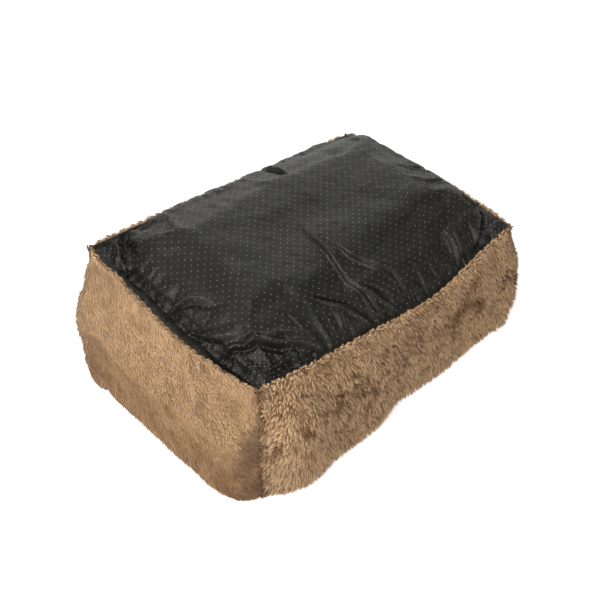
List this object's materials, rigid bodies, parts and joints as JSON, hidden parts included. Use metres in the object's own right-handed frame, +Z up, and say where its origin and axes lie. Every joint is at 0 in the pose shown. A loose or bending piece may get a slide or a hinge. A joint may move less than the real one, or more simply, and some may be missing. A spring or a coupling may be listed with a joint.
{
  "type": "pet cushion bed",
  "caption": "Soft rectangular pet bed stored base up: plush bolster walls sewn round a filled pad, with a black non-slip underside and a well that opens downwards.",
  "frame": {"origin": "on the ground under the middle of the bed, which stands upside down on the rims of its walls, as it is stored", "axes": "+Z up, from the wall rims to the domed black base; +X along the two long walls; the front wall faces -Y and the left wall -X. Half a turn about X or Y stands the bed the way up it is used"},
  "size_m": [0.5684, 0.3884, 0.2648],
  "materials": {
    "plush": "camel brown faux rabbit plush, pile about 10 mm",
    "nonslip_oxford": "black woven cloth with a faint sheen and small pale raised grip dots",
    "fibre_filling": "white polyester fibre wadding",
    "thread": "dark brown polyester sewing thread"
  },
  "bodies": {
    "root": {"front_wall_cover": "plush", "right_wall_cover": "plush", "back_wall_cover": "plush", "left_wall_cover": "plush", "sleeping_panel": "plush", "base_panel": "nonslip_oxford", "base_fill": "fibre_filling", "front_wall_fill": "fibre_filling", "right_wall_fill": "fibre_filling", "back_wall_fill": "fibre_filling", "left_wall_fill": "fibre_filling", "base_seam_thread": "thread", "well_seam_thread": "thread", "front_left_corner_thread": "thread", "front_right_corner_thread": "thread", "back_right_corner_thread": "thread", "back_left_corner_thread": "thread"}
  },
  "joints": []
}
